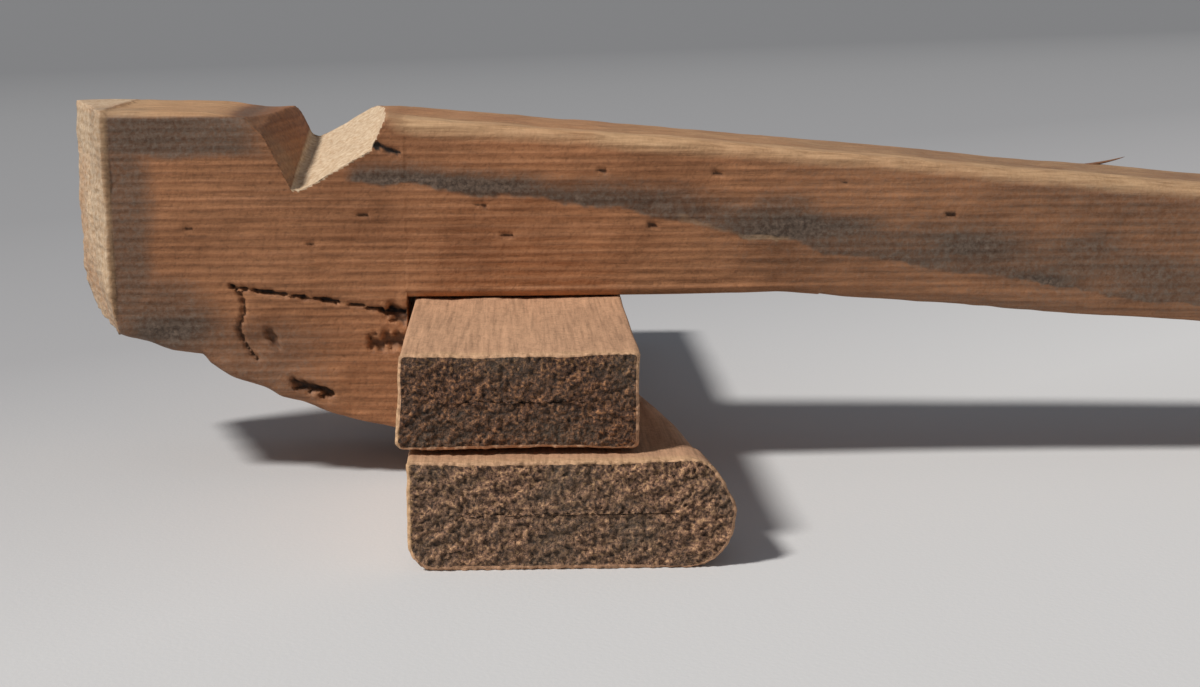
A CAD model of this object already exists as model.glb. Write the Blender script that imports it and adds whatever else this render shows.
import math

import bmesh
import bpy
import numpy as np
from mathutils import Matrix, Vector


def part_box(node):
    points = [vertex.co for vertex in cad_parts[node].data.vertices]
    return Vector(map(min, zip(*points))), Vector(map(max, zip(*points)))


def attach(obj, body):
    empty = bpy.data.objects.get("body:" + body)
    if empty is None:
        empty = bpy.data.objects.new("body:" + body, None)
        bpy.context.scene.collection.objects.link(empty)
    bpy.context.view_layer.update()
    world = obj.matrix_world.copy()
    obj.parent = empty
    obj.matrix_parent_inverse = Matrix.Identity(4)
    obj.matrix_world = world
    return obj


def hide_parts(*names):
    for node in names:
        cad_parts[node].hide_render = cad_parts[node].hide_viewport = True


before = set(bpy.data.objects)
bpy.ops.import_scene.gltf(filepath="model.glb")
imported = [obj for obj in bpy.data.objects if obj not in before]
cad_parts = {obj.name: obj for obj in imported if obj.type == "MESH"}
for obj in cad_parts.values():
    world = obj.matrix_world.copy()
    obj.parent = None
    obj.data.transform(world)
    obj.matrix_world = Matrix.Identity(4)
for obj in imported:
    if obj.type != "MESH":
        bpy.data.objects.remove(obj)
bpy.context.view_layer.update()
MM = 0.001

# ---------------------------------------------------------------------------
# Studio: a plain pale floor, one soft window-like lamp from the upper left and
# front, and a weak fill. The camera looks along the crossbar, a little down.
# ---------------------------------------------------------------------------


def shade(tree, kind, inputs=None, **settings):
    """Adds one shader node; an input is a plain value or another node's socket."""
    node = tree.nodes.new(kind)
    for name, value in settings.items():
        setattr(node, name, value)
    for name, value in (inputs or {}).items():
        if isinstance(value, bpy.types.NodeSocket):
            tree.links.new(value, node.inputs[name])
        else:
            node.inputs[name].default_value = value
    return node


def ramp(tree, value, stops):
    """A run of greys or colours along a value; stops are (place, colour) pairs."""
    node = shade(tree, "ShaderNodeValToRGB", {"Fac": value})
    elements = node.color_ramp.elements
    while len(elements) < len(stops):
        elements.new(0.5)
    for element, (place, colour) in zip(elements, stops):
        element.position = place
        element.color = (*colour, 1) if hasattr(colour, "__len__") else (colour, colour, colour, 1)
    return node.outputs["Color"]


def mix(tree, amount, below, above, mode="MIX"):
    """Lays one colour over another by an amount."""
    inputs = {}
    for name, value in (("Fac", amount), ("Color1", below), ("Color2", above)):
        inputs[name] = (*value, 1) if isinstance(value, tuple) and len(value) == 3 else value
    return shade(tree, "ShaderNodeMixRGB", inputs, blend_type=mode).outputs["Color"]


floor_mesh = bpy.data.meshes.new("floor")
floor_reach = 30.0
floor_mesh.from_pydata(
    [(-floor_reach, -floor_reach, 0), (floor_reach, -floor_reach, 0),
     (floor_reach, floor_reach, 0), (-floor_reach, floor_reach, 0)], [], [(0, 1, 2, 3)])
floor = bpy.data.objects.new("floor", floor_mesh)
bpy.context.scene.collection.objects.link(floor)

paper = bpy.data.materials.new("studio_paper")
paper.use_nodes = True
tree = paper.node_tree
tree.nodes.clear()
place = shade(tree, "ShaderNodeTexCoord").outputs["Object"]
# The floor's tone deepens slowly towards its far left
apart = shade(tree, "ShaderNodeSeparateXYZ", {"Vector": place})
sideways = shade(tree, "ShaderNodeMath", {0: apart.outputs["X"], 1: -0.9, 2: apart.outputs["Y"]},
                 operation="MULTIPLY_ADD").outputs[0]
depth = shade(tree, "ShaderNodeMapRange", {
    "Value": sideways, "From Min": -0.05, "From Max": 2.6}).outputs["Result"]
paper_colour = ramp(tree, depth, [
    (0.0, (0.66, 0.66, 0.655)), (0.05, (0.56, 0.56, 0.56)), (0.12, (0.42, 0.42, 0.425)),
    (0.28, (0.33, 0.333, 0.34)), (0.6, (0.29, 0.294, 0.30)), (1.0, (0.22, 0.225, 0.232))])
tooth_of_paper = shade(tree, "ShaderNodeTexNoise", {"Vector": place, "Scale": 900.0, "Detail": 3.0})
paper_bump = shade(tree, "ShaderNodeBump", {
    "Height": tooth_of_paper.outputs["Fac"], "Strength": 0.12, "Distance": 0.0004})
paper_shader = shade(tree, "ShaderNodeBsdfPrincipled", {
    "Base Color": paper_colour, "Roughness": 0.9, "Normal": paper_bump.outputs["Normal"]})
paper_out = shade(tree, "ShaderNodeOutputMaterial")
tree.links.new(paper_shader.outputs["BSDF"], paper_out.inputs["Surface"])
floor_mesh.materials.append(paper)

# A broad, far lamp, so that the whole length of the rake is lit alike
light = bpy.data.lights.new("window", "SUN")
light.angle = math.radians(8.5)
light.energy = 3.25
light.color = (1.0, 0.97, 0.94)
window = bpy.data.objects.new("window", light)
window.location = (-1.60, -0.86, 2.0)
window.rotation_euler = (-window.location).to_track_quat("-Z", "Y").to_euler()
bpy.context.scene.collection.objects.link(window)

world = bpy.data.worlds.new("studio")
world.use_nodes = True
world.node_tree.nodes["Background"].inputs["Color"].default_value = (0.86, 0.90, 1.0, 1)
world.node_tree.nodes["Background"].inputs["Strength"].default_value = 0.19
bpy.context.scene.world = world
bpy.context.scene.view_settings.view_transform = "Standard"

camera_data = bpy.data.cameras.new("camera")
camera_data.lens = 54.0
camera_data.sensor_width = 36.0
camera_data.clip_start = 0.01
camera = bpy.data.objects.new("camera", camera_data)
camera.location = (-0.01111, -0.43501, 0.11493)
camera.rotation_euler = (math.radians(90 - 11.2946), 0, math.radians(-2.6825))
bpy.context.scene.collection.objects.link(camera)
bpy.context.scene.camera = camera

# ---------------------------------------------------------------------------
# Handle: one hewn softwood beam, about square at the drawing end, with a slanted
# end, a knife-cut V for the rope and a heel whose shoulder bears on the crossbar.
# It tapers to a hand-worn grip and ends in a tenon that passes through the head.
# ---------------------------------------------------------------------------


def scramble(cells, seed):
    """A repeatable number from 0 to 1 for each whole-number cell."""
    value = np.sin(cells @ np.array([127.1, 311.7, 74.7]) + seed * 17.31) * 43758.5453
    return value - np.floor(value)


def soft_noise(points, size, seed):
    """Smooth noise from 0 to 1; size is the length of one lump along each axis."""
    q = points / np.asarray(size, float)
    base = np.floor(q)
    part = q - base
    part = part * part * (3 - 2 * part)
    total = np.zeros(len(points))
    for corner in np.ndindex(2, 2, 2):
        weight = np.prod(np.where(corner, part, 1 - part), axis=1)
        total += weight * scramble(base + np.array(corner), seed)
    return total


def smooth(low, high, value):
    """0 below low, 1 above high, with an easy curve between."""
    t = np.clip((value - low) / (high - low), 0, 1)
    return t * t * (3 - 2 * t)


def rounded(corners, radii, count):
    """Points around an outline with rounded corners, evenly spaced, as (n, 2)."""
    corners = np.asarray(corners, float)
    path = []
    for i, corner in enumerate(corners):
        before = corners[i - 1] - corner
        after = corners[(i + 1) % len(corners)] - corner
        before /= np.linalg.norm(before)
        after /= np.linalg.norm(after)
        for t in np.linspace(0, 1, 9):
            start = corner + before * radii[i]
            end = corner + after * radii[i]
            path.append((1 - t) ** 2 * start + 2 * t * (1 - t) * corner + t * t * end)
    path = np.array(path + [path[0]])
    length = np.concatenate([[0], np.cumsum(np.linalg.norm(np.diff(path, axis=0), axis=1))])
    places = np.linspace(0, length[-1], count, endpoint=False)
    return np.stack([np.interp(places, length, path[:, k]) for k in (0, 1)], axis=1)


# Stands for no limit along an axis, where a spine's ends are given
FREE = 9999


def close_end(ring, spine_low, spine_high, steps):
    """Rings that shrink from an end outline almost on to its spine, the outermost first."""
    nearly_closed = 0.992
    target = np.clip(ring, spine_low, spine_high)
    return [target + (ring - target) * (1 - s) for s in np.linspace(0, nearly_closed, steps + 1)[1:]]


def skin(name, rings, marks=None, end_rings=0):
    """A closed mesh over a run of rings; marks are values kept at each point.
    The first and last end_rings bands take the second material."""
    rings = np.asarray(rings)
    count, around = rings.shape[:2]
    index = np.arange(count * around).reshape(count, around)
    a, b = index[:-1], index[1:]
    faces = np.stack([a, np.roll(a, -1, 1), np.roll(b, -1, 1), b], axis=-1).reshape(-1, 4)
    mesh = bpy.data.meshes.new(name)
    mesh.from_pydata((rings.reshape(-1, 3) * MM).tolist(), [], faces.tolist())
    band = np.repeat(np.arange(count - 1), around)
    cap = (band < end_rings) | (band >= count - 1 - end_rings)
    mesh.polygons.foreach_set("material_index", cap.astype(np.int32))
    for mark, values in (marks or {}).items():
        layer = mesh.attributes.new(mark, "FLOAT", "POINT")
        layer.data.foreach_set("value", np.asarray(values, np.float32).ravel())
    shaped = bmesh.new()
    shaped.from_mesh(mesh)
    bmesh.ops.remove_doubles(shaped, verts=shaped.verts, dist=0.00002)
    bmesh.ops.dissolve_degenerate(shaped, edges=shaped.edges, dist=0.00001)
    bmesh.ops.holes_fill(shaped, edges=shaped.edges)
    bmesh.ops.recalc_face_normals(shaped, faces=shaped.faces)
    for face in shaped.faces:
        face.smooth = True
    shaped.to_mesh(mesh)
    shaped.free()
    made = bpy.data.objects.new(name, mesh)
    bpy.context.scene.collection.objects.link(made)
    return made


def weathered(name, along, early, late, ring=1.7, grain_depth=0.35, rough=0.62, tint=0.5):
    """Old wood with growth rings and fibres running along one axis.
    The marks grime, fresh, dark and rim on the mesh soil, cut, crack and rub it."""
    material = bpy.data.materials.new(name)
    material.use_nodes = True
    tree = material.node_tree
    tree.nodes.clear()
    place = shade(tree, "ShaderNodeTexCoord").outputs["Object"]
    stretch = [1.0, 1.0, 1.0]
    stretch[along] = 0.045
    drawn = shade(tree, "ShaderNodeMapping", {"Vector": place, "Scale": stretch}).outputs["Vector"]
    rings = shade(tree, "ShaderNodeTexWave", {
        "Vector": drawn, "Scale": 2 * math.pi / (20 * ring * MM), "Distortion": 5.0,
        "Detail": 4.0, "Detail Scale": 0.5, "Detail Roughness": 0.7}, bands_direction="Z").outputs["Fac"]
    fibres = shade(tree, "ShaderNodeTexNoise", {
        "Vector": drawn, "Scale": 1500.0, "Detail": 5.0, "Roughness": 0.65}).outputs["Fac"]
    patches = shade(tree, "ShaderNodeTexNoise", {
        "Vector": place, "Scale": 34.0, "Detail": 6.0, "Roughness": 0.6}).outputs["Fac"]
    specks = shade(tree, "ShaderNodeTexNoise", {
        "Vector": place, "Scale": 900.0, "Detail": 4.0, "Roughness": 0.7}).outputs["Fac"]
    colour = mix(tree, ramp(tree, rings, [(0.5, 0.0), (1.0, 0.36)]), early, late)
    colour = mix(tree, ramp(tree, patches, [(0.35, 0.0), (0.65, tint)]), colour,
                 tuple(0.55 * c for c in late))
    colour = mix(tree, 0.55, colour, ramp(tree, fibres, [(0.28, 0.35), (0.55, 1.0), (0.8, 1.25)]),
                 "MULTIPLY")
    colour = mix(tree, 0.5, colour, ramp(tree, specks, [(0.3, 0.4), (0.5, 1.0)]), "MULTIPLY")

    def mark(word, low, high, noise, share):
        """A mark's strength; the noise frays its edge, and adds nothing where there's no mark."""
        layer = shade(tree, "ShaderNodeAttribute", attribute_name=word).outputs["Fac"]
        ragged = shade(tree, "ShaderNodeMath", {0: noise, 1: 0.5}, operation="SUBTRACT").outputs[0]
        ragged = shade(tree, "ShaderNodeMath", {0: ragged, 1: share}, operation="MULTIPLY").outputs[0]
        gate = shade(tree, "ShaderNodeMath", {0: layer, 1: 4.0}, operation="MULTIPLY",
                     use_clamp=True).outputs[0]
        ragged = shade(tree, "ShaderNodeMath", {0: ragged, 1: gate}, operation="MULTIPLY").outputs[0]
        total = shade(tree, "ShaderNodeMath", {0: layer, 1: ragged}, operation="ADD").outputs[0]
        return ramp(tree, total, [(low, 0.0), (high, 1.0)])

    grime_colour = ramp(tree, specks, [(0.35, (0.045, 0.030, 0.021)), (0.62, (0.165, 0.115, 0.082))])
    fresh_colour = ramp(tree, specks, [(0.35, (0.50, 0.33, 0.19)), (0.62, (0.74, 0.58, 0.40))])
    rim_colour = ramp(tree, fibres, [(0.3, (0.40, 0.235, 0.115)), (0.65, (0.72, 0.47, 0.26))])
    colour = mix(tree, mark("grime", 0.16, 0.82, specks, 0.9), colour, grime_colour)
    colour = mix(tree, mark("rim", 0.2, 0.95, patches, 0.9), colour, rim_colour)
    colour = mix(tree, mark("fresh", 0.35, 0.7, patches, 0.5), colour, fresh_colour)
    colour = mix(tree, mark("dark", 0.2, 0.8, specks, 0.5), colour, (0.018, 0.011, 0.008))

    height = mix(tree, 0.5, fibres, rings)
    height = mix(tree, 0.4, height, specks)
    scuffs = shade(tree, "ShaderNodeTexNoise", {
        "Vector": place, "Scale": 300.0, "Detail": 6.0, "Roughness": 0.7}).outputs["Fac"]
    height = mix(tree, 0.5, height, scuffs)
    bump = shade(tree, "ShaderNodeBump", {
        "Height": height, "Strength": 1.0, "Distance": 1.9 * grain_depth * MM})
    gloss = ramp(tree, patches, [(0.3, rough - 0.1), (0.7, rough + 0.16)])
    surface = shade(tree, "ShaderNodeBsdfPrincipled", {
        "Base Color": colour, "Roughness": gloss, "Normal": bump.outputs["Normal"],
        "Specular IOR Level": 0.35})
    out = shade(tree, "ShaderNodeOutputMaterial")
    tree.links.new(surface.outputs["BSDF"], out.inputs["Surface"])
    return material


# All sizes below are in mm; end_x is the near side's left end and slant the far side's extra reach
tenon_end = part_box("handle")[1].x / MM
bar_low, bar_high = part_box("upper_bar")
head_low, head_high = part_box("head_beam")
seat = bar_high.z / MM
shoulder_gap = 0.4
shoulder = bar_low.x / MM - shoulder_gap
head_near = head_low.x / MM
half_wide = 21.5
end_x = -105.4
slant = 15.2
# The underside leaves the level at level_end and reaches tip_low at the head
level_end = 50
tip_low = 3
grip_deep = 34.8
grip_loss = 6.8

# Height of the top and of the underside along the beam, at a few places
top_line = [(-125, 86.2), (-98, 87.0), (-82, 86.6), (-73, 85.4), (-40, 85.6), (-26, 84.2), (8, 81.8),
            (50, 78.1)]
under_line = [(-106, 35.0), (-103, 33.2), (-97.4, 31.6), (-91.7, 30.4), (-84.2, 29.6), (-82.8, 28.0),
              (-75.8, 24.8), (-66.7, 20.6), (-57.5, 16.7), (-50.6, 13.9), (-36.9, 11.4)]


def sweep_share(x):
    """Share of the long sweep passed at x, from 0 beside the bars to 1 at the head."""
    return np.clip((x - level_end) / (head_near - level_end), 0, 1)


def sweep_under(x):
    """Underside to the right of the shoulder: level over the bars, then falling to the head."""
    return tip_low + (seat - tip_low) * (1 - sweep_share(x)) ** 3


def sweep_top(x):
    """Top of the beam at x, from the drawing end to the head."""
    left = np.interp(x, *zip(*top_line))
    return np.where(x > level_end, sweep_under(x) + grip_deep - grip_loss * sweep_share(x), left)


def sweep_bottom(x):
    """Underside of the beam at x, with the heel's outline to the left of the shoulder."""
    left = np.interp(x, *zip(*under_line))
    return np.where(x > shoulder, sweep_under(x) + 0.05, left)


def notch_height(x, y):
    """Height of the V cut: deeper on the near side, its right slope in two knife facets."""
    across = np.clip((y + half_wide) / (2 * half_wide), 0, 1)
    middle = -61.5 + 0.8 * across
    base = 68.7 + 9.0 * across
    slope = [(-60, 90), (-15.5, 22), (-12, 16.8), (-7.4, 12.9), (-3.6, 6.0), (-1.2, 0.5), (0.6, 0),
             (5, 2.1), (12.3, 6.3), (17.6, 9.4), (20.6, 16.6), (26, 30), (60, 90)]
    return base + np.interp(x - middle, *zip(*slope))


def split_section(section, height, below, above):
    """Spends a set share of an outline's points below a height, so a step there stays clean."""
    lower = section[:, 1] < height
    start = int(np.argmax(lower & ~np.roll(lower, 1)))
    section, lower = np.roll(section, -start, 0), np.roll(lower, -start)
    share = int(lower.sum())
    runs = []
    for run, wanted in ((section[:share + 1], below), (np.vstack([section[share:], section[:1]]), above)):
        length = np.concatenate([[0], np.cumsum(np.linalg.norm(np.diff(run, axis=0), axis=1))])
        places = np.linspace(0, length[-1], wanted, endpoint=False)
        runs.append(np.stack([np.interp(places, length, run[:, k]) for k in (0, 1)], axis=1))
    return np.vstack(runs)


# Points around the beam, and how many of them stay near its underside
around = 340
around_below = 160
stations = np.concatenate([
    np.arange(end_x, shoulder - 0.3, 0.6), [shoulder - 0.12, shoulder + 0.12],
    np.arange(shoulder + 0.5, 170, 0.6), np.arange(171, 320, 2.0),
    np.arange(321, head_near, 6.0), [head_near]])
rings = []
for x in stations:
    wide = np.interp(x, [0, 150, 900, head_near], [half_wide, 18.5, 15, 15])
    lower, upper = float(sweep_bottom(x)), float(sweep_top(x))
    edge = np.interp(x, [-100, -40, 60, 150, 500, 1200, head_near], [2.2, 2.4, 3.5, 5.5, 11, 11, 7])
    sole = min(edge, 2.2) if x < 60 else edge
    section = rounded([(-wide, lower), (wide, lower), (wide, upper), (-wide, upper)],
                      [sole, sole, edge, edge], 1500)
    split_height = max(lower + 3.0, min(seat + 3.0, upper - 12))
    section = split_section(section, split_height, around_below, around - around_below)
    rings.append(np.column_stack([np.full(around, x), section]))
rings = np.array(rings)

# The end is cut on a slant, further left on the far side, and its lower edge is rounded back
flat = rings.reshape(-1, 3)
x0, y0, z0 = flat.T
lean = smooth(-78, -104, x0) * ((y0 + half_wide) / (2 * half_wide)) * slant
tuck = smooth(-88, -105, x0) * np.clip((46 - z0) / 16, 0, 1) ** 1.5 * 4.5
flat[:, 0] = x0 - lean + tuck
end_ring = flat.reshape(rings.shape)[0]
spine_y = 3
cap = close_end(end_ring, [-FREE, -spine_y, 52], [FREE, spine_y, 66], 34)
for number, ring in enumerate(cap):
    share = (number + 1) / len(cap)
    middle_x = end_x - slant * (np.clip(end_ring[:, 1], -spine_y, spine_y) + half_wide) / (2 * half_wide)
    ring[:, 0] += (middle_x - end_ring[:, 0]) * share - 1.2 * math.sin(math.pi / 2 * share)
front = np.array(cap[::-1])

# The tenon passes through the head and ends flush with its far face
tenon_high, tenon_wide, middle_z = 9.0, 12.0, 17.0
tenon = rounded([(-tenon_wide, middle_z - tenon_high), (tenon_wide, middle_z - tenon_high),
                 (tenon_wide, middle_z + tenon_high), (-tenon_wide, middle_z + tenon_high)],
                [1.0] * 4, around)
tail = [np.column_stack([np.full(around, x), tenon])
        for x in (head_near + 0.05, head_near + 20, tenon_end - 0.6)]
tail.append(np.column_stack([np.full(around, tenon_end), tenon * 0.97 + np.array([0, middle_z * 0.03])]))
tail += close_end(tail[-1], [-FREE, -spine_y, middle_z], [FREE, spine_y, middle_z], 8)
rings = np.concatenate([front, rings, np.array(tail)])
flat = rings.reshape(-1, 3)
x, y, z = flat.T

# The notch, cut after the beam was squared
depth_cut = z - (notch_height(x, y) + 0.5 * (soft_noise(flat, (3, 6, 3), 5) - 0.5))
cut = (depth_cut > 0) & (x > -80) & (x < -38)
flat[cut, 2] -= depth_cut[cut]
x, y, z = flat.T
fresh = np.where(cut, np.where(x > -62.5, 0.9, 0.36), 0.0)

# Hewn flats on the heel, dents over the sides and raised fibres everywhere
near_part = smooth(200, 120, x)
body = (x > -104) & (x < head_near - 1)
hewn = soft_noise(flat, (13, 12, 8), 11) + 0.5 * soft_noise(flat, (6, 7, 4), 12) - 0.75
on_heel = smooth(-38, -60, x) * smooth(52, 30, z) + 0.25
dents = (hewn * 2.1 * on_heel + (soft_noise(flat, (30, 9, 9), 13) - 0.5) * 0.7
         + (soft_noise(flat, (3.5, 1.6, 1.3), 14) - 0.5) * 0.22
         + (soft_noise(flat, (22, 0.9, 0.9), 15) - 0.5) * 0.16) * (0.35 + 0.65 * near_part)
centre_z = (sweep_bottom(x) + sweep_top(x)) / 2
outward = np.column_stack([np.zeros(len(x)), y / half_wide, (z - centre_z) / 22])
outward /= np.maximum(np.linalg.norm(outward, axis=1, keepdims=True), 0.2)
# The faces that bear on the crossbar stay flat
shoulder_face = smooth(3, 1, abs(x - shoulder)) * (z < seat + 1)
under_seat = (x > shoulder - 1) * (z < seat + 2) * smooth(70, 18, x)
flat += outward * ((dents - 0.45) * body * (1 - shoulder_face) * (1 - under_seat))[:, None]
on_end = smooth(-103.2, -106.0, x) * (x < -100)
flat[:, 0] += on_end * ((soft_noise(flat, (4, 2.2, 9), 21) - 0.3) * 1.5
                        + (soft_noise(flat, (4, 1.0, 1.6), 22) - 0.3) * 0.7)


def groove(path, wide):
    """How close each point of the near side is to a line in X and Z, from 0 to 1."""
    nearest = np.full(len(flat), 99.0)
    for a, b in zip(path[:-1], path[1:]):
        a, b = np.array(a, float), np.array(b, float)
        p = flat[:, [0, 2]] - a
        t = np.clip(p @ (b - a) / ((b - a) @ (b - a)), 0, 1)
        nearest = np.minimum(nearest, np.linalg.norm(p - t[:, None] * (b - a), axis=1))
    nearest += (soft_noise(flat, (1.3, 3, 1.0), 41) - 0.5) * wide * 1.1
    return smooth(wide, wide * 0.35, nearest) * (flat[:, 1] < -14)


long_split = groove([(-77, 46.4), (-69, 45.0), (-61, 43.9), (-52, 42.4), (-44, 40.9), (-37, 40.0)], 0.5)
curved_split = groove([(-77, 46.4), (-74.4, 44), (-74.3, 40), (-75.8, 36.5), (-74, 32), (-71.5, 29)], 0.5)
knot = groove([(-63, 23.6), (-60.5, 22.9), (-57, 21.6), (-55, 20.6)], 1.5)
pick_a = groove([(-40.4, 40.6), (-37, 39.2)], 2.3)
pick_b = groove([(-43.6, 32.8), (-38, 33.4)], 2.3)
chip = groove([(-68.8, 35.5), (-67.4, 32.5)], 1.5)
nick = groove([(-43, 79.0), (-38.5, 77.0)], 1.2)
pits = [groove([(a, b), (a + 1.6, b - 0.2)], 0.6) for a, b in (
    (-59, 56), (8, 73), (-20, 65), (-14, 58), (35, 72), (64, 70), (-47, 63), (-87, 60), (20, 60), (90, 62))]
torn = (long_split * 1.6 + curved_split * 1.3 + knot * 2.2 + pick_a * 1.8 + pick_b * 1.8 + chip * 1.2
        + nick * 0.8 + sum(pits) * 0.7)
flat[:, 1] += torn
dark = np.clip(long_split * 0.8 + curved_split * 0.5 + knot * 0.75 + pick_a * 0.6 + pick_b * 0.55 + chip * 0.4
               + nick * 0.9 + sum(pits) * 0.6, 0, 1)

# The far side has a long drying check of its own
x, y, z = flat.T
check = smooth(0.8, 0.2, abs(z - (58 - 0.09 * x + 1.2 * np.sin(x / 17)))) * (y > 12) * (x > -90) * (x < 180)
flat[:, 1] -= check * 1.3
dark = np.clip(dark + check, 0, 1)

# Soiling: a grey band falls from the notch along the near side, and darkens the left end
x, y, z = flat.T
ragged = 2.0 * (soft_noise(flat, (7, 9, 3), 34) - 0.5) + 0.9 * (soft_noise(flat, (1.6, 3, 1.2), 36) - 0.5)
band_edge = [(-50, 69.8), (-38, 69.8), (-21, 67.6), (8, 64), (28, 60.8), (43, 56.8), (56, 55.6),
             (61, 52.4), (78, 50.7), (113, 45.4), (146, 39.6), (300, 28)]
over_line = z + ragged - np.interp(x, *zip(*band_edge))
band_h = np.interp(x, [-50, 0, 40, 60, 100, 150, 260], [6.5, 8, 12, 16, 18, 20, 20])
band = (smooth(-0.5, 0.7, over_line) * smooth(1.25, 0.25, over_line / band_h)
        * smooth(-52, -47, x) * smooth(420, 170, x) * (y < 8))
band *= 0.72 + 0.5 * soft_noise(flat, (16, 9, 5), 37)
crust = (smooth(-0.3, 0.3, over_line) * smooth(1.8, 0.9, over_line)
         * smooth(24, 28, x) * smooth(56, 50, x) * (y < 0))
left_edge = smooth(-91, -98.5, x + 3 * (soft_noise(flat, (9, 9, 7), 35) - 0.5)) * 0.62 * (y < -10)
top_left = smooth(-62, -76, x) * smooth(74.5, 77.5, z + 3.0 * (soft_noise(flat, (6, 5, 5), 31) - 0.5)) * 0.72
heel_soil = smooth(-40, -70, x) * smooth(44, 34, z) * 0.46
heel_soil += 0.5 * smooth(17, 6, np.hypot(x + 92, (z - 41) * 1.4)) * (y < 0)
grime = np.maximum.reduce([band * 0.80, left_edge, top_left * smooth(86.2, 84.8, z), heel_soil,
                           0.3 * smooth(-95, -104, x),
                           0.52 * smooth(-20, 110, x) * (soft_noise(flat, (45, 20, 9), 33) * 0.6 + 0.6)])
grime *= 1 - fresh
fresh = np.maximum(fresh, 0.56 * on_end)

# Rubbed light edges, along the top and around the slanted end
near_top = smooth(6.0, 1.5, sweep_top(x) - z) * (y < -12) * smooth(-44, -34, x) * smooth(700, 200, x)
rim = np.maximum(near_top * 0.72, 0.42 * smooth(1.6, 0.6, sweep_top(x) - z) * (x > -44))
rim = np.maximum(rim, smooth(-102.4, -104.6, x) * (y < -17) * 0.85)
rim = np.maximum(rim, smooth(-110, -103, x) * smooth(84.6, 86, z) * smooth(-66, -80, x) * 0.62)
rim = np.maximum(rim, 0.40 * on_end * smooth(70, 40, z))
rim = np.maximum(rim, 0.34 * crust)
rim *= 1 - 0.9 * np.clip(fresh, 0, 1)

handle = skin("handle_beam", rings, {"grime": grime, "fresh": fresh, "dark": dark, "rim": rim})
handle_wood = weathered("handle_wood", 0, (0.47, 0.212, 0.093), (0.22, 0.076, 0.028), ring=2.1)
handle.data.materials.append(handle_wood)
handle.data.materials.append(handle_wood)
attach(handle, "root")
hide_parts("handle")

# A splinter that has lifted out of the far top edge of the handle
splinter_steps = 12
splinter_sides = 16
splinter_rings = []
for t in np.linspace(0, 1, splinter_steps):
    size = 1.1 * (1 - t) ** 0.7 + 0.05
    spot = np.array([130 + 13 * t, 13.0 + 1.5 * t, float(sweep_top(130.0)) - 1.0 + 0.9 * t + 1.3 * t * t])
    ring = rounded([(-size, -size * 0.35), (size, -size * 0.35), (size, size * 0.35), (-size, size * 0.35)],
                   [size * 0.2] * 4, splinter_sides)
    splinter_rings.append(np.column_stack([np.full(splinter_sides, spot[0]), ring + spot[1:]]))
splinter = skin("splinter", splinter_rings, {"grime": np.full(splinter_steps * splinter_sides, 0.4)})
splinter.data.materials.append(handle_wood)
splinter.data.materials.append(handle_wood)
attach(splinter, "root")

# ---------------------------------------------------------------------------
# Crossbar: two short sawn boards, one on the other, pegged up into the handle.
# The ends are weathered across the grain, so soft wood has gone and left pits.
# ---------------------------------------------------------------------------


def end_grain(name, base, light, dark, lean):
    """Pitted end grain with growth bands that lean across the board's end."""
    material = bpy.data.materials.new(name)
    material.use_nodes = True
    tree = material.node_tree
    tree.nodes.clear()
    place = shade(tree, "ShaderNodeTexCoord").outputs["Object"]
    turned = shade(tree, "ShaderNodeMapping", {
        "Vector": place, "Rotation": (0, lean, 0), "Scale": (1, 0.2, 1)}).outputs["Vector"]
    bands = shade(tree, "ShaderNodeTexWave", {
        "Vector": turned, "Scale": 2 * math.pi / (20 * 4.2 * MM), "Distortion": 3.0, "Detail": 2.0,
        "Detail Scale": 0.6}, bands_direction="Z").outputs["Fac"]
    grains = shade(tree, "ShaderNodeTexNoise", {
        "Vector": place, "Scale": 1500.0, "Detail": 3.0, "Roughness": 0.6}).outputs["Fac"]
    patches = shade(tree, "ShaderNodeTexNoise", {
        "Vector": place, "Scale": 75.0, "Detail": 4.0}).outputs["Fac"]
    high_spots = shade(tree, "ShaderNodeAttribute", attribute_name="raised").outputs["Fac"]
    rim_mark = shade(tree, "ShaderNodeAttribute", attribute_name="rim").outputs["Fac"]
    colour = ramp(tree, grains, [(0.33, dark), (0.50, base), (0.66, light)])
    colour = mix(tree, 0.6, colour, ramp(tree, high_spots, [(0.15, 0.42), (0.5, 1.0), (0.8, 1.5)]),
                 "MULTIPLY")
    colour = mix(tree, 0.6, colour, ramp(tree, bands, [(0.2, 0.45), (0.8, 1.25)]), "MULTIPLY")
    colour = mix(tree, ramp(tree, patches, [(0.42, 0.0), (0.7, 0.5)]), colour, (0.10, 0.082, 0.06))
    edge = shade(tree, "ShaderNodeMath", {0: rim_mark, 1: grains}, operation="MULTIPLY").outputs[0]
    colour = mix(tree, ramp(tree, edge, [(0.22, 0.0), (0.5, 0.9)]), colour, (0.55, 0.33, 0.15))
    bump = shade(tree, "ShaderNodeBump", {"Height": grains, "Strength": 1.0, "Distance": 0.0009})
    surface = shade(tree, "ShaderNodeBsdfPrincipled", {
        "Base Color": colour, "Roughness": 0.72, "Normal": bump.outputs["Normal"],
        "Specular IOR Level": 0.3})
    out = shade(tree, "ShaderNodeOutputMaterial")
    tree.links.new(surface.outputs["BSDF"], out.inputs["Surface"])
    return material


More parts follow.
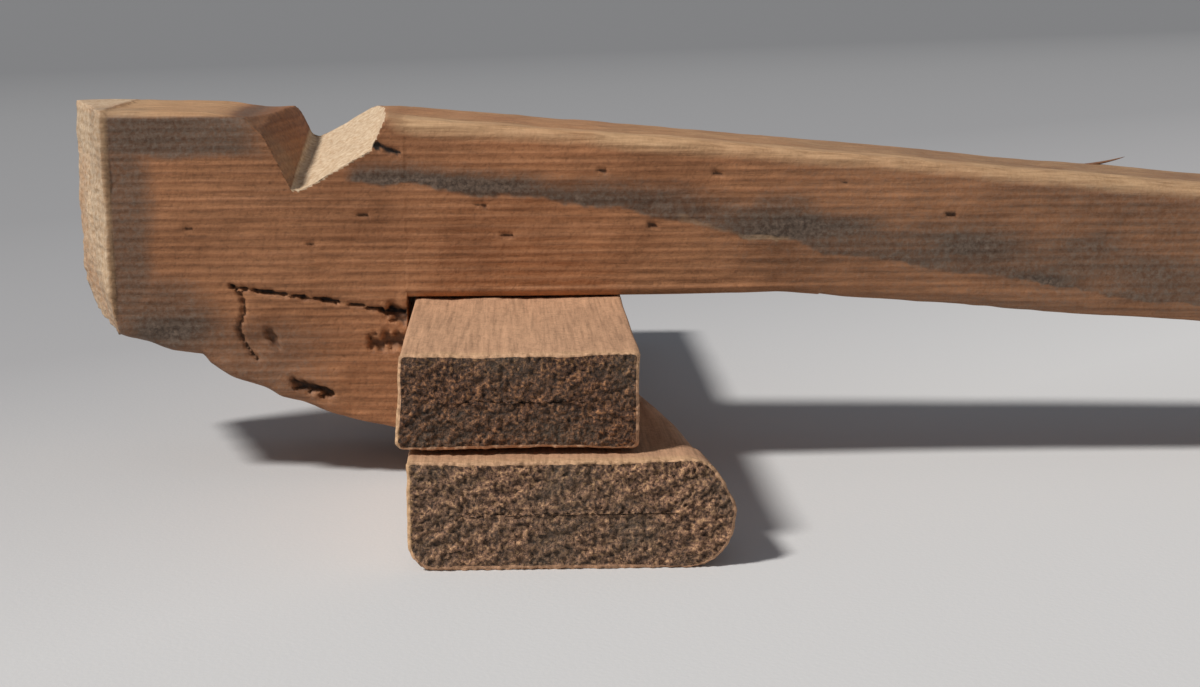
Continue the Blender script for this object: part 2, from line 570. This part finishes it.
def board(name, node, corners, radii, narrow, seed, pit_depth):
    """A board along Y with a weathered end at each side; narrow shifts its right side in."""
    low, high = (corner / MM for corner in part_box(node))
    count = 380
    section = rounded(corners, radii, count)
    # The arris at each end is worn this far round; the near end is meshed finely for this long
    worn = 0.8
    fine = 55.0
    places = np.concatenate([
        low.y + worn * (1 - np.cos(np.linspace(0, np.pi / 2, 5))), np.arange(low.y + 1.4, low.y + fine, 0.6),
        np.arange(low.y + fine + 1, high.y - 8, 3.0), np.arange(high.y - 7, high.y - worn, 0.8),
        high.y - worn * (1 - np.cos(np.linspace(np.pi / 2, 0, 5)))])
    mid_x, mid_z = (corners[0][0] + corners[1][0]) / 2, (low.z + high.z) / 2
    half = (high.z - low.z) / 2
    rings = []
    for y in places:
        from_end = min(y - low.y, high.y - y)
        pull = worn * (1 - math.sqrt(max(0.0, 1 - (1 - min(from_end / worn, 1)) ** 2)))
        target = np.column_stack([np.clip(section[:, 0], low.x + half, mid_x + 8), np.full(count, mid_z)])
        inward = target - section
        inward /= np.maximum(np.linalg.norm(inward, axis=1, keepdims=True), 1e-6)
        ring = section + inward * pull
        shift = np.interp(y - low.y, *zip(*narrow)) * smooth(-8, 24, ring[:, 0])
        rings.append(np.column_stack([ring[:, 0] + shift, np.full(count, y), ring[:, 1]]))
    steps = 26
    caps = []
    for ring in (rings[0], rings[-1]):
        spine_low = [ring[:, 0].min() + half, -FREE, mid_z]
        spine_high = [ring[:, 0].max() - half, FREE, mid_z]
        caps.append(close_end(ring, spine_low, spine_high, steps))
    rings = np.array(caps[0][::-1] + rings + caps[1])
    flat = rings.reshape(-1, 3)
    pitted = (0.6 * soft_noise(flat, (0.62, 3, 0.62), seed) + 0.4 * soft_noise(flat, (1.1, 3, 0.9), seed + 1))
    raised = smooth(0.25, 0.75, pitted)
    at_near = smooth(1.4, 0.2, flat[:, 1] - low.y)
    at_far = smooth(1.4, 0.2, high.y - flat[:, 1])
    flat[:, 1] += (at_near - at_far) * (1 - raised) * pit_depth
    # Sides: lifted fibres, slow waves and small losses around the near end
    target = np.column_stack([
        np.clip(flat[:, 0], low.x + half, mid_x + 6), flat[:, 1], np.full(len(flat), mid_z)])
    inward = target - flat
    inward /= np.maximum(np.linalg.norm(inward, axis=1, keepdims=True), 1e-3)
    chipped = (soft_noise(flat, (3.2, 2.2, 3.2), seed + 2) - 0.4).clip(0) * 1.6
    loss = (chipped * smooth(4, 0, flat[:, 1] - low.y)
            + 0.30 * soft_noise(flat, (1.1, 16, 1.1), seed + 3)
            + 0.5 * soft_noise(flat, (9, 26, 9), seed + 4))
    on_side = 1 - np.maximum(at_near, at_far) * 0.6
    bottom = smooth(low.z + 0.05, low.z + 1.5, flat[:, 2]) if low.z < 1 else 1.0
    flat += inward * (loss * on_side * bottom)[:, None]
    marks_rim = (smooth(5.5, 0.5, flat[:, 1] - low.y) * 0.62 * (1 - at_near * 0.3)
                 * smooth(mid_z - 4, mid_z + 8, flat[:, 2]))
    left_rim = smooth(2.6, 0.6, flat[:, 0] - low.x) * smooth(9, 1, flat[:, 1] - low.y) * 0.8
    marks = {"raised": raised, "rim": np.maximum(marks_rim, left_rim),
             "grime": 0.5 * (flat[:, 2] < mid_z - 2) * (1 - at_near)}
    made = skin(name, rings, marks, end_rings=steps)
    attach(made, "root")
    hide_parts(node)
    return made


bar_side = weathered("bar_side_wood", 1, (0.66, 0.385, 0.225), (0.44, 0.22, 0.12), ring=2.4,
                     grain_depth=0.3, rough=0.7, tint=0.3)
upper = board("upper_board", "upper_bar",
              [(-36.0, 23.3), (13.4, 23.3), (13.7, 43.35), (-34.9, 43.35)], [2.2, 1.6, 1.0, 1.0],
              [(0, 0), (500, 0)], 51, 0.6)
upper.data.materials.append(bar_side)
upper.data.materials.append(end_grain("upper_end_grain", (0.135, 0.066, 0.038), (0.36, 0.17, 0.075),
                                      (0.03, 0.019, 0.014), math.radians(33)))

lower = board("lower_board", "lower_bar",
              [(-33.5, 0.0), (29.5, 0.0), (33.7, 11.5), (27.5, 22.7), (-33.5, 22.7)],
              [6.0, 7.0, 4.5, 4.5, 0.9],
              [(0, 0), (13, -1.2), (14, -2.4), (34, -4.4), (51, -7.2), (69, -11.0), (84, -13.5),
               (500, -13.5)],
              61, 0.7)
lower.data.materials.append(bar_side)
lower.data.materials.append(end_grain("lower_end_grain", (0.27, 0.145, 0.088), (0.58, 0.34, 0.18),
                                      (0.045, 0.028, 0.02), math.radians(24)))

# ---------------------------------------------------------------------------
# Pegs, wedges and pins: riven hardwood, driven and cut off close to the surface.
# They keep the plain worked shape and take a dry split-wood finish.
# ---------------------------------------------------------------------------
peg_wood = weathered("peg_wood", 2, (0.55, 0.37, 0.21), (0.36, 0.22, 0.12), ring=1.1, rough=0.6)
for name in ("bar_peg_near", "bar_peg_far", "bow_pins"):
    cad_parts[name].data.materials.clear()
    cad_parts[name].data.materials.append(peg_wood)
wedge_wood = weathered("wedge_wood", 0, (0.60, 0.41, 0.24), (0.40, 0.25, 0.14), ring=1.1, rough=0.6)
for name in ("tenon_wedge_near", "tenon_wedge_far"):
    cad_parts[name].data.materials.clear()
    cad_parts[name].data.materials.append(wedge_wood)

# ---------------------------------------------------------------------------
# Toothed head: a sawn beam bored for the teeth and mortised for the handle.
# Its arrises are rubbed round and its ends are weathered like the crossbar's.
# ---------------------------------------------------------------------------

# The block is modelled whole: the tenon, wedges, teeth and bow ends run into it uncut
skin_gap = 0.1
head_left = head_low.x / MM + skin_gap
head_right = head_high.x / MM - skin_gap
head_top = head_high.z / MM - skin_gap
head_corners = [(head_left, 0.0), (head_right, 0.0), (head_right, head_top), (head_left, head_top)]
cap_steps = 16
count = 150
section = rounded(head_corners, [2.5, 4.0, 4.0, 3.0], count)
reach = head_high.y / MM
places = np.concatenate([[-reach, -reach + 0.3, -reach + 1.2], np.arange(-reach + 3, reach - 2.5, 2.5),
                         [reach - 1.2, reach - 0.3, reach]])
centre = np.array([(head_low.x + head_high.x) / 2 / MM, middle_z])
rings = []
for y in places:
    trim = 1 - 0.035 * max(0.0, 1 - (reach - abs(y)) / 1.2)
    ring = centre + (section - centre) * trim
    rings.append(np.column_stack([ring[:, 0], np.full(count, y), ring[:, 1]]))
caps = [close_end(ring, [centre[0] - 5, -FREE, middle_z], [centre[0] + 5, FREE, middle_z], cap_steps)
        for ring in (rings[0], rings[-1])]
rings = np.array(caps[0][::-1] + rings + caps[1])
flat = rings.reshape(-1, 3)
inward = np.column_stack([centre[0] - flat[:, 0], np.zeros(len(flat)), middle_z - flat[:, 2]])
inward /= np.maximum(np.linalg.norm(inward, axis=1, keepdims=True), 1.0)
lifted = smooth(0.05, 1.5, flat[:, 2])
flat += inward * ((0.5 * soft_noise(flat, (9, 40, 9), 81) + 0.25 * soft_noise(flat, (1.3, 20, 1.3), 82))
                  * lifted)[:, None]
pitted = soft_noise(flat, (1.4, 3, 1.2), 83)
flat[:, 1] -= np.sign(flat[:, 1]) * smooth(1.0, 0.2, reach - abs(flat[:, 1])) * 0.6 * (1 - pitted)
head = skin("head_block", rings, {"raised": pitted, "grime": 0.35 * soft_noise(flat, (30, 60, 30), 84)},
            end_rings=cap_steps)
head.data.materials.append(weathered("head_wood", 1, (0.45, 0.26, 0.145), (0.27, 0.13, 0.07), ring=2.2))
head.data.materials.append(end_grain("head_end_grain", (0.17, 0.09, 0.05), (0.40, 0.23, 0.11),
                                     (0.04, 0.025, 0.018), math.radians(20)))
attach(head, "root")
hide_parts("head_beam")

# ---------------------------------------------------------------------------
# Teeth: round riven pegs, shaved a little unevenly and rubbed pale and blunt
# towards the tip by hay. Each is driven through the head.
# ---------------------------------------------------------------------------
tooth_wood = weathered("tooth_wood", 2, (0.56, 0.38, 0.22), (0.36, 0.21, 0.11), ring=1.3, rough=0.5)
teeth = sorted(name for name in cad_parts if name.startswith("tooth_"))
for number, name in enumerate(teeth):
    low, high = (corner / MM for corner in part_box(name))
    middle = np.array([(low.x + high.x) / 2, (low.y + high.y) / 2])
    count = 28
    rings = []
    tall = high.z - low.z
    heights = [(0.0, 6.4), (1.0, 6.95), (tall * 0.3, 6.95), (tall * 0.55, 6.6), (tall * 0.72, 6.0),
               (tall * 0.84, 5.2), (tall * 0.93, 4.2), (tall * 0.98, 2.8), (tall, 0.9)]
    for z in np.concatenate([[0, 0.4], np.arange(1, tall - 3, 2.5), tall - np.array([3, 2, 1.2, 0.5, 0])]):
        radius = float(np.interp(z, *zip(*heights)))
        turn = np.linspace(0, 2 * np.pi, count, endpoint=False)
        faceted = radius * (1 - 0.03 * np.abs(np.sin(3.5 * turn + number)))
        rings.append(np.column_stack([middle[0] + faceted * np.cos(turn), middle[1] + faceted * np.sin(turn),
                                      np.full(count, low.z + z)]))
    rings = np.array(rings)
    flat = rings.reshape(-1, 3)
    scar = (soft_noise(flat, (3, 3, 11), 90 + number) - 0.5) * 0.35
    flat[:, :2] -= (flat[:, :2] - middle) * (0.03 + scar / 7)[:, None] * smooth(34, 40, flat[:, 2])[:, None]
    tooth = skin(name + "_peg", rings, {"rim": smooth(105, 128, flat[:, 2]) * 0.6,
                                        "grime": smooth(52, 35, flat[:, 2]) * 0.6})
    tooth.data.materials.append(tooth_wood)
    tooth.data.materials.append(tooth_wood)
    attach(tooth, "root")
    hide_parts(name)

# ---------------------------------------------------------------------------
# Bows: two shaved rods, steamed and bent to half rounds. They pass through the
# handle and their ends are pinned in the head.
# ---------------------------------------------------------------------------
for name, seed in (("outer_bow", 131), ("inner_bow", 141)):
    low, high = (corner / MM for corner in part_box(name))
    thick = (high.z - low.z) / 2
    radius = high.y - thick
    count = 30
    turn = np.linspace(0, 2 * np.pi, count, endpoint=False)
    rings = []
    steps = 160
    straight = high.x - head_near
    line = [(head_near + straight * (1 - t), -radius, 0.0) for t in (0, 0.04, 0.3, 0.65)]
    line += [(head_near - radius * math.sin(a), -radius * math.cos(a), a)
             for a in np.linspace(0, math.pi, steps)]
    line += [(head_near + straight * t, radius, math.pi) for t in (0.35, 0.7, 0.96, 1)]
    for number, (x, y, a) in enumerate(line):
        size = thick * (0.86 if number in (0, len(line) - 1) else 0.985)
        across = np.array([-math.sin(a), -math.cos(a), 0])
        ring = (np.array([x, y, (low.z + high.z) / 2]) + size * np.cos(turn)[:, None] * across
                + size * np.sin(turn)[:, None] * np.array([0, 0, 1]))
        rings.append(ring)
    rings = np.array(rings)
    flat = rings.reshape(-1, 3)
    flat[:, 2] += (soft_noise(flat, (14, 14, 3), seed) - 0.5) * 0.35
    bow = skin(name + "_rod", rings, {"grime": 0.7 * soft_noise(flat, (40, 40, 9), seed + 1)})
    bow_wood = weathered(name + "_wood", 1, (0.50, 0.31, 0.17), (0.30, 0.165, 0.085), ring=1.4, rough=0.5)
    bow.data.materials.append(bow_wood)
    bow.data.materials.append(bow_wood)
    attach(bow, "root")
    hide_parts(name)
